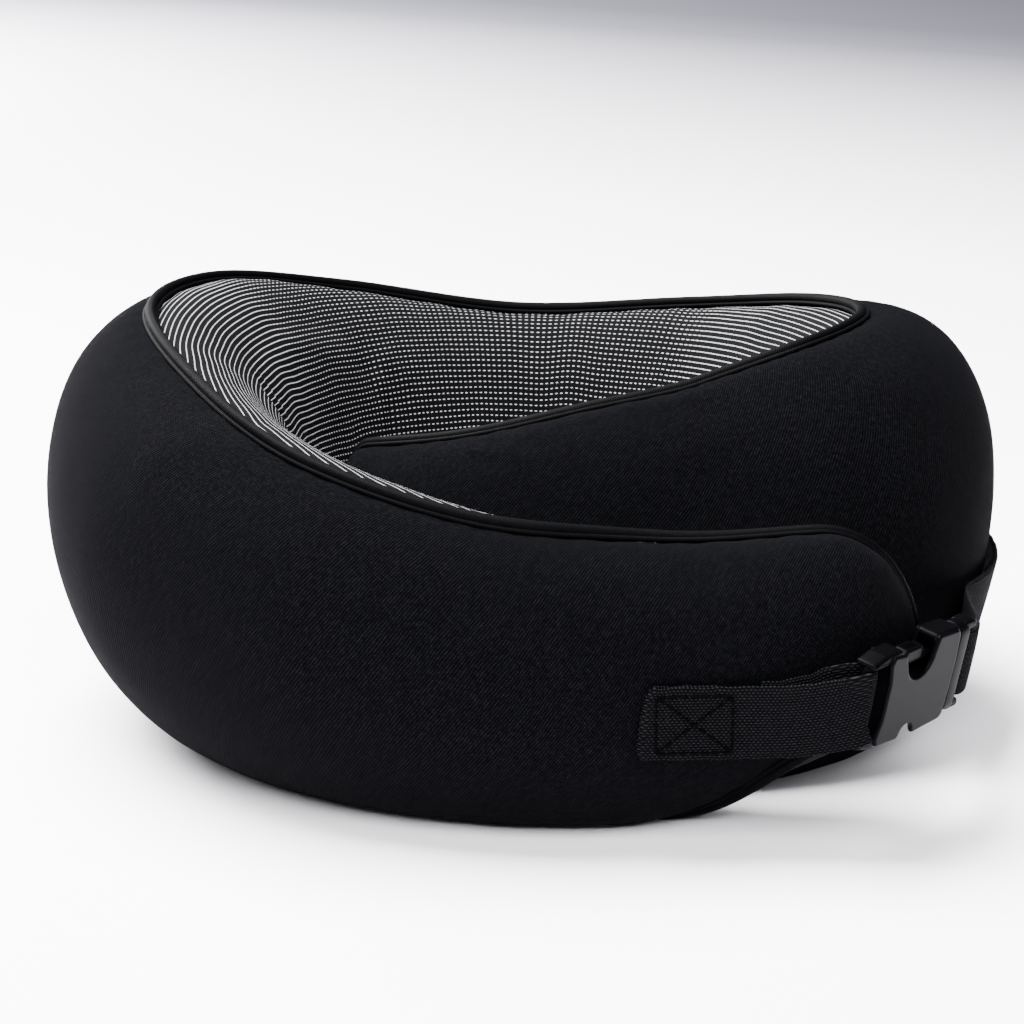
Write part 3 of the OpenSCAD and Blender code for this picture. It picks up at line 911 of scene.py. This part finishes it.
def box_stitches(name, path, face, wide, s0, s1, body, cad):
    """Box and cross of thread, stitch by stitch, on the outer face of a strap."""
    run = run_along(path)
    side = WEB_W / 2 - STITCH_EDGE
    arch = np.sin(np.linspace(0, np.pi, 7))**0.5

    def at(arr, s):
        return np.stack([np.interp(s, run, arr[:, k]) for k in range(3)], 1)

    corners = [(s0, -side), (s1, -side), (s1, side), (s0, side)]
    lines = [(corners[i], corners[(i + 1) % 4]) for i in range(4)]
    lines += [(corners[0], corners[2]), (corners[1], corners[3])]
    meshes = []
    for a, b in lines:
        a, b = np.array(a), np.array(b)
        count = int(np.linalg.norm(b - a) / STITCH)
        for i in range(count):
            f = (i + 0.06 + np.linspace(0, 0.88, 7)) / count
            q = a + (b - a) * f[:, None]
            crown = WEB_BOW * (1 - (q[:, 1] / (WEB_W / 2))**2)
            lift = WEB_T / 2 + crown - STITCH_SINK + STITCH_RISE * arch
            base = at(path, q[:, 0]) + at(face, q[:, 0]) * lift[:, None] + at(wide, q[:, 0]) * q[:, 1:]
            d = np.gradient(base, axis=0)
            d /= np.linalg.norm(d, axis=1)[:, None]
            up = at(face, q[:, 0])
            pts, uv = sweep(base, (up, np.cross(d, up)), circle(STITCH_R, 7))
            meshes.append(grid_mesh(name, pts[:, ::-1], uv[:, ::-1], wrap=True))
    o = join_meshes(name, meshes)
    close_ends(o)
    finish_piece(o, THREAD, "thread", body, cad)


make_left_strap()
make_right_strap()


# ---------------------------------------------------------------- moulded and metal parts
def outline(corners, steps=7):
    """Closed outline through corners [x, z, radius], each rounded."""
    q = np.array(corners, float)
    pts = []
    for i in range(len(q)):
        here, r = q[i, :2], q[i, 2]
        a, b = q[i - 1, :2] - here, q[(i + 1) % len(q), :2] - here
        la, lb = np.linalg.norm(a), np.linalg.norm(b)
        a, b = a / la, b / lb
        half = math.acos(np.clip(a @ b, -1, 1)) / 2
        reach = min(r / math.tan(half), 0.49 * la, 0.49 * lb)
        r = reach * math.tan(half)
        if r < 1e-3:
            pts.append(here)
            continue
        middle = here + (a + b) / np.linalg.norm(a + b) * r / math.sin(half)
        start, end = here + a * reach - middle, here + b * reach - middle
        turn = math.atan2(start[0] * end[1] - start[1] * end[0], start @ end)
        for f in np.linspace(0, 1, steps):
            c, s = math.cos(turn * f), math.sin(turn * f)
            pts.append(middle + [c * start[0] - s * start[1], s * start[0] + c * start[1]])
    return np.array(pts)


PLATE_STEP = 1.2


def plate(shape, lo, hi, edge, axes=(0, 2, 1)):
    """Slab with rounded edges: an outline over two axes, raised along the third."""
    dense = []
    for i in range(len(shape)):
        a, b = shape[i], shape[(i + 1) % len(shape)]
        n = max(1, int(np.linalg.norm(b - a) / PLATE_STEP))
        dense += [a + (b - a) * k / n for k in range(n)]
    q = np.array(dense)
    q = q[np.linalg.norm(q - np.roll(q, 1, 0), axis=1) > 1e-4]
    d = np.roll(q, -1, 0) - np.roll(q, 1, 0)
    d /= np.linalg.norm(d, axis=1)[:, None]
    nrm = np.stack([d[:, 1], -d[:, 0]], 1)
    area = (q[:, 0] * np.roll(q[:, 1], -1) - np.roll(q[:, 0], -1) * q[:, 1]).sum()
    nrm *= np.sign(area)
    edge = min(edge, (hi - lo) / 2)
    turn = np.linspace(0, np.pi / 2, 5)
    inset = np.concatenate([[edge * 1.35], edge * (1 - np.sin(turn))])
    rise = np.concatenate([[0], edge * (1 - np.cos(turn))])
    levels = [(i, lo + r) for i, r in zip(inset, rise)]
    levels += [(i, hi - r) for i, r in zip(inset[::-1], rise[::-1])]
    p = np.zeros((len(levels), len(q), 3))
    for k, (i, level) in enumerate(levels):
        flat = q - nrm * i
        p[k, :, axes[0]], p[k, :, axes[1]], p[k, :, axes[2]] = flat[:, 0], flat[:, 1], level
    return p


def box(x0, x1, y0, y1, z0, z1, edge=0.5, axis=1, corner=None):
    """Rounded block; the slab is raised along axis."""
    lo, hi = np.array([x0, y0, z0], float), np.array([x1, y1, z1], float)
    a, b = [k for k in range(3) if k != axis]
    r = corner or edge * 1.5
    shape = outline([[lo[a], lo[b], r], [hi[a], lo[b], r], [hi[a], hi[b], r], [lo[a], hi[b], r]])
    return plate(shape, lo[axis], hi[axis], edge, (a, b, axis))


def rod(centre, axis, lo, hi, r, edge=0.3):
    """Round bar along an axis through centre (two coordinates on the other axes)."""
    a, b = [k for k in range(3) if k != axis]
    return plate(circle(r, 24, centre), lo, hi, edge, (a, b, axis))


def shells(name, parts, place, mat, slot_name, body, *nodes):
    """One object from several closed shells given in local millimetres."""
    meshes = [grid_mesh(name, place(p.reshape(-1, 3)).reshape(p.shape), wrap=True) for p in parts]
    o = join_meshes(name, meshes)
    close_ends(o)
    return finish_piece(o, mat, slot_name, body, *nodes)


HALF_W, HALF_T, MOUTH_X, BODY_X = 14.0, 4.2, 19.5, -13.5
NOTCH_R, NOTCH_Z = 6.4, 10.2
LOW_NOTCH_R = 3.2


def face_outline():
    """Half outline of the socket's face plate, mirrored: mouth, shoulder, round notch, curved rear edge."""
    arc = [[-NOTCH_R * math.cos(a), NOTCH_Z - 0.2 - NOTCH_R * math.sin(a)]
           for a in np.radians(np.linspace(172, 18, 19))]
    upper = [[MOUTH_X, 4.0, 2.0], [MOUTH_X - 0.7, HALF_W - 0.6, 2.4], [7.6, HALF_W, 1.2]]
    upper += [[x, z, 0] for x, z in arc]
    upper += [[-8.3, 12.4, 1.2], [-14.5, 13.2, 1.2], [-15.6, 11.0, 1.5], [-14.0, 5.5, 6.0]]
    arc = [[-LOW_NOTCH_R * math.cos(a), -HALF_W + 0.6 + LOW_NOTCH_R * math.sin(a)]
           for a in np.radians(np.linspace(190, 350, 13)) + math.pi]
    lower = [[-14.0, -5.5, 6.0], [-15.6, -11.0, 1.5], [-14.5, -13.2, 1.2],
             [-LOW_NOTCH_R - 0.8, -HALF_W + 0.3, 1.0]]
    lower += [[x, z, 0] for x, z in arc]
    lower += [[LOW_NOTCH_R + 0.8, -HALF_W, 1.0], [MOUTH_X - 0.7, 0.6 - HALF_W, 2.4], [MOUTH_X, -4.0, 2.0]]
    return outline(upper + lower)


def make_socket():
    face = face_outline()
    parts = [plate(face, -HALF_T, -2.7, 0.7), plate(face, 2.7, HALF_T, 0.7)]
    parts.append(box(BODY_X, -9.6, -3.2, 3.2, -11.5, 11.5, 0.4))
    for s in (-1, 1):
        z0, z1 = sorted((s * 11.0, s * HALF_W))
        parts.append(box(7.2, MOUTH_X - 0.5, -3.9, 3.9, z0, z1, 1.3, axis=0, corner=2.9))
        ear = [[-9.0, 13.9, 1.2], [-17.0, 13.7, 3.0], [-23.0, 12.3, 0.8],
               [-22.4, 10.7, 0.8], [-9.0, 10.6, 1.0]]
        parts.append(plate(outline([[x, s * z, r] for x, z, r in ear]), -3.3, 3.3, 1.1))
    parts.append(rod((BAR_X, 0), 2, -12.4, 12.4, 1.6))
    shells("buckle_socket_body", parts, in_buckle, PLASTIC, "buckle_plastic", "left_arm", "buckle_socket")


PLUG_X, ROOT_X = 20.0, 22.4


def make_plug():
    parts = [box(PLUG_X, PLUG_X + 5.2, -3.6, 3.6, -13.5, 13.5, 0.7, axis=0, corner=3.2),
             rod((LOOP_X, 0), 2, -12.6, 12.6, 1.25),
             box(2, PLUG_X + 0.6, -1.6, 1.6, -2.1, 2.1, 0.5)]
    for s in (-1, 1):
        z0, z1 = sorted((s * 10.7, s * 13.4))
        parts.append(box(PLUG_X + 3, PLUG_X + 9.6, -2.7, 2.7, z0, z1, 0.9))
    shells("buckle_plug_body", parts, in_buckle, PLASTIC, "buckle_plastic", "plug", "buckle_plug")
    for s, name in ((1, "upper"), (-1, "lower")):
        arm = [[ROOT_X + 1.2, 7.1, 0.9], [ROOT_X + 1.2, 8.9, 0.9], [6.5, 8.9, 2.0], [3.0, 11.9, 1.2],
               [-4.6, 11.9, 1.4], [-8, 9.2, 1.2], [-8, 7.2, 0.7]]
        shape = outline([[x, s * z, r] for x, z, r in arm])
        parts = [plate(shape, -1.6, 1.6, 0.5)]
        pad = [[2.6, 8.0, 1.0], [2.6, 11.9, 1.3], [-4.8, 11.9, 1.5], [-7.9, 9.4, 1.2], [-7.9, 8.0, 1.0]]
        parts.append(plate(outline([[x, s * z, r] for x, z, r in pad]), -2.3, 2.3, 0.8))
        shells(f"buckle_prong_{name}", parts, in_buckle, PLASTIC, "buckle_plastic",
               f"prong_{name}", f"prong_{name}")


make_socket()
make_plug()

# ---------------------------------------------------------------- zipper and label on the back
ZIP_HALF, ZIP_R, ZIP_Z, ZIP_TILT = 12.5, 173.0, 30.0, math.radians(20.5)
ZIP_CENTRE = np.array([-3.0, -49.0])
SLIDER_AT, LABEL_AT = 9.5, -17.0
PIN_Y = 6.2


def in_zip(phi):
    """Placement of points in the zipper's frame at angle phi: X along it, Y outwards, Z across it."""
    c, s = math.cos(ZIP_TILT), math.sin(ZIP_TILT)
    a = math.radians(-phi)

    def place(p):
        p = np.asarray(p, float)
        y = p[..., 1] * c + p[..., 2] * s + ZIP_R
        z = -p[..., 1] * s + p[..., 2] * c + ZIP_Z
        x = p[..., 0] * math.cos(a) - y * math.sin(a)
        y = p[..., 0] * math.sin(a) + y * math.cos(a)
        return np.stack([x + ZIP_CENTRE[0], y + ZIP_CENTRE[1], z], -1)
    return place


def along_zip(phis, y, z):
    """Points at angles phis, offset y outwards and z across."""
    return np.array([in_zip(phi)([0, yy, zz]) for phi, yy, zz in np.broadcast(phis, y, z)])


TAPE_OUT, TAPE_WAVE, TAPE_AT = 0.62, 0.12, 4.0


def make_tapes():
    phis = np.linspace(-ZIP_HALF, ZIP_HALF, 70)
    for name, side in (("upper", 1), ("lower", -1)):
        prof = webbing_profile(7.0, 0.7, 0.0, 9)
        out = TAPE_OUT + TAPE_WAVE * np.sin(phis * 1.7 + side)
        pts = np.stack([along_zip(phis, out + a, side * TAPE_AT + b) for a, b in prof], 1)
        uv = np.stack(np.broadcast_arrays((phis * math.radians(ZIP_R))[:, None], prof[None, :, 1]), 2) / UV_MM
        o = link(f"zip_tape_{name}_cloth", grid_mesh("tape", pts, uv, wrap=True))
        close_ends(o)
        finish_piece(o, TAPE, "zip_tape", "pillow", f"zip_tape_{name}")


TOOTH_PITCH = 1.25


def make_coil():
    """Interlocked coil: short rounded teeth from each side, overlapping in the middle."""
    step = math.degrees(TOOTH_PITCH / ZIP_R)
    parts = []
    for i, phi in enumerate(np.arange(-ZIP_HALF + 1.0, ZIP_HALF - 1.0, step)):
        side = 1 if i % 2 else -1
        tooth = rod((0.0, 1.75), 2, *sorted((-side * 0.7, side * 1.9)), 0.52, 0.4)
        parts.append(in_zip(phi)(tooth.reshape(-1, 3)).reshape(tooth.shape))
    shells("zip_coil_teeth", parts, lambda p: p, COIL, "zip_plastic", "pillow", "zip_coil")
    stops = []
    for phi in (-ZIP_HALF + 0.35, ZIP_HALF - 0.35):
        stop = box(-0.6, 0.6, 1.0, 2.6, -2.4, 2.4, 0.35)
        stops.append(in_zip(phi)(stop.reshape(-1, 3)).reshape(stop.shape))
    shells("zip_end_stops", stops, lambda p: p, METAL, "zip_metal", "pillow", "zip_stops")


def make_slider():
    place = in_zip(SLIDER_AT)
    top = outline([[-4.6, -2.4, 1.6], [-4.6, 2.4, 1.6], [0.5, 3.9, 2.2], [4.5, 3.6, 1.6], [3.0, 0, 1.2],
                   [4.5, -3.6, 1.6], [0.5, -3.9, 2.2]])
    parts = [plate(top, 2.75, 4.1, 0.5)]
    for s in (-1, 1):
        z0, z1 = sorted((s * 2.7, s * 3.9))
        parts.append(box(-1.5, 1.5, 3.6, PIN_Y + 1.2, z0, z1, 0.35, axis=2, corner=1.3))
    parts.append(rod((0, PIN_Y), 2, -3.3, 3.3, 0.85))
    shells("zip_slider_body", parts, place, METAL, "zip_metal", "zip_slider", "zip_slider")
    tab = outline([[-14.6, -1.5, 0.9], [-14.6, 1.5, 0.9], [-8, 2.1, 3], [-1, 2.3, 0.9],
                   [-1, -2.3, 0.9], [-8, -2.1, 3]])
    ring = []
    for a in np.linspace(0, 2 * np.pi, 29):
        centre = np.array([-16.6 + 2.1 * math.cos(a), PIN_Y, 2.1 * math.sin(a)])
        outward = np.array([math.cos(a), 0, math.sin(a)])
        ring.append([centre + 0.6 * (outward * x + np.array([0, 1, 0]) * y) for x, y in circle(1.0, 12)])
    parts = [plate(tab, PIN_Y - 0.6, PIN_Y + 0.6, 0.4), rod((0, PIN_Y), 2, -2.3, 2.3, 1.75, 0.4),
             np.array(ring)]
    shells("zip_pull_tab", parts, place, METAL, "zip_metal", "zip_pull", "zip_pull")


def make_label():
    """Blank woven label, sewn on at its two ends."""
    x, z = np.meshgrid(np.linspace(-8, 8, 33), np.linspace(-5, 5, 21), indexing="ij")
    y = -0.35 + 0.35 * np.cos(x / 8 * np.pi / 2) * (0.6 + 0.4 * np.cos(z * 0.9))
    pts = in_zip(LABEL_AT)(np.stack([x, y, z], 2).reshape(-1, 3)).reshape(33, 21, 3)
    o = link("label_cloth", grid_mesh("label", pts, np.stack([x, z], 2) / UV_MM))
    thick = o.modifiers.new("thickness", "SOLIDIFY")
    thick.thickness = 0.4 * MM
    thick.offset = 0
    apply_modifiers(o)
    finish_piece(o, LABEL, "label", "pillow", "size_label")


make_tapes()
make_coil()
make_slider()
make_label()

# ---------------------------------------------------------------- stage, light, camera
CAM_TARGET = Vector((-5, 4, 62.5)) * MM
CAM_ELEVATION = 14.5
CAM_DISTANCE = 870 * MM


def make_stage():
    bpy.ops.mesh.primitive_plane_add(size=12, location=(0, 0, 0))
    floor = bpy.context.object
    floor.name = "floor"
    m, t, b = material("floor_painted_falloff")
    sep = t.nodes.new("ShaderNodeSeparateXYZ")
    t.links.new(t.nodes.new("ShaderNodeTexCoord").outputs["Object"], sep.inputs[0])
    # painted shade: the floor's colour runs from pale at the front left to nearly black at the back right,
    # standing in for the light falling off across it
    away = slanted(t, sep.outputs[0], sep.outputs[1], 0.3, 0.35)
    painted_falloff = ramp(t, away, [(0.12, (0.93, 0.90, 0.94)), (0.36, (0.78, 0.76, 0.80)), (0.50, (0.60, 0.585, 0.62)),
                          (0.62, (0.42, 0.41, 0.44)), (0.75, (0.26, 0.257, 0.285)), (0.90, (0.11, 0.11, 0.128)),
                          (1.0, (0.08, 0.08, 0.095))])
    t.links.new(painted_falloff, b.inputs["Base Color"])
    b.inputs["Roughness"].default_value = 0.7
    b.inputs["Specular IOR Level"].default_value = 0.1
    floor.data.materials.append(m)
    world = bpy.data.worlds.new("studio")
    bpy.context.scene.world = world
    world.use_nodes = True
    back = world.node_tree.nodes["Background"]
    back.inputs[0].default_value = (0.92, 0.94, 1.06, 1)
    back.inputs[1].default_value = 0.25


def area_light(name, place, aim, size, power):
    light = bpy.data.lights.new(name, "AREA")
    light.shape = "RECTANGLE"
    light.size, light.size_y = size
    light.energy = power
    o = bpy.data.objects.new(name, light)
    bpy.context.scene.collection.objects.link(o)
    o.location = place
    o.rotation_euler = (Vector(aim) - Vector(place)).to_track_quat("-Z", "Y").to_euler()


def make_camera():
    cam = bpy.data.cameras.new("camera")
    cam.lens, cam.sensor_width = 100, 36
    cam.clip_start = 0.05
    o = bpy.data.objects.new("camera", cam)
    bpy.context.scene.collection.objects.link(o)
    e = math.radians(CAM_ELEVATION)
    forward = Vector((0, math.cos(e), -math.sin(e)))
    o.location = CAM_TARGET - forward * CAM_DISTANCE
    o.rotation_euler = forward.to_track_quat("-Z", "Y").to_euler()
    bpy.context.scene.camera = o


make_stage()
area_light("key", (-0.52, 0.22, 1.45), (0, 0.05, 0.02), (1.4, 1.1), 300)
area_light("front", (0.1, -1.4, 1.1), (0, -0.2, 0.05), (1.3, 0.9), 95)
area_light("backdrop", (-1.6, 2.2, 1.0), (-1.1, 2.6, 0), (0.9, 0.9), 620)
make_camera()
